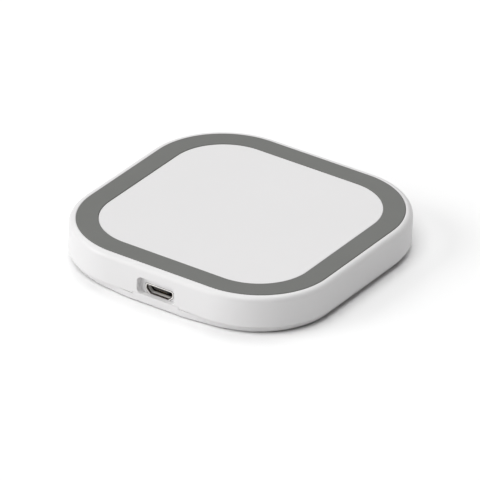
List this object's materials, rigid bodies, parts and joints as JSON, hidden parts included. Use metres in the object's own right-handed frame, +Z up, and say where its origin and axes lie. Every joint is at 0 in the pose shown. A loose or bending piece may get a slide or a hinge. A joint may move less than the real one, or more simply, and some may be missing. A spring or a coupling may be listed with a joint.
{
  "type": "wireless charging pad",
  "caption": "Square wireless charging pad with rounded corners, an inlaid grey grip ring, a separate base plate and a micro-USB socket in one side.",
  "frame": {"origin": "on the table, under the middle of the pad", "axes": "+Z up out of the charging face, -Y out of the side with the socket, +X to the right when the socket faces the viewer"},
  "size_m": [0.072, 0.072, 0.0102],
  "materials": {
    "shell_white": "satin moulded ABS",
    "grip_grey": "matt silicone",
    "adhesive": "thin double-sided adhesive film",
    "base_white": "fine-textured moulded ABS",
    "foot_grey": "matt silicone",
    "screw_steel": "nickel-plated steel",
    "board_green": "glass-epoxy board with solder mask",
    "socket_steel": "tinned stainless steel",
    "socket_plastic": "moulded nylon",
    "contact_gold": "gold flash over copper alloy",
    "copper_litz": "enamelled stranded copper wire",
    "ferrite": "sintered ferrite",
    "amber_film": "polyimide film",
    "solder": "bright solder",
    "chip_black": "moulded epoxy",
    "tinned_metal": "tinned copper",
    "ceramic_tan": "fired ceramic"
  },
  "bodies": {
    "root": {"top_shell": "shell_white", "grip_ring": "grip_grey", "ring_tape": "adhesive", "base_plate": "base_white", "foot_front_left": "foot_grey", "foot_front_right": "foot_grey", "foot_back_left": "foot_grey", "foot_back_right": "foot_grey", "base_screws": "screw_steel", "circuit_board": "board_green", "usb_shell": "socket_steel", "usb_insulator": "socket_plastic", "usb_contacts": "contact_gold", "coil_winding": "copper_litz", "coil_tape": "adhesive", "ferrite_shield": "ferrite", "ferrite_tape": "adhesive", "insulation_sheet": "amber_film", "coil_lead_inner": "copper_litz", "coil_lead_outer": "copper_litz", "lead_solder": "solder", "control_chip": "chip_black", "control_chip_pins": "tinned_metal", "bridge_chip_left": "chip_black", "bridge_chip_right": "chip_black", "bridge_chip_pins": "tinned_metal", "choke_core": "ferrite", "choke_terminals": "tinned_metal", "resonant_capacitors": "ceramic_tan", "input_capacitors": "ceramic_tan", "chip_capacitors": "ceramic_tan", "chip_resistors": "chip_black", "chip_terminals": "tinned_metal"}
  },
  "joints": []
}
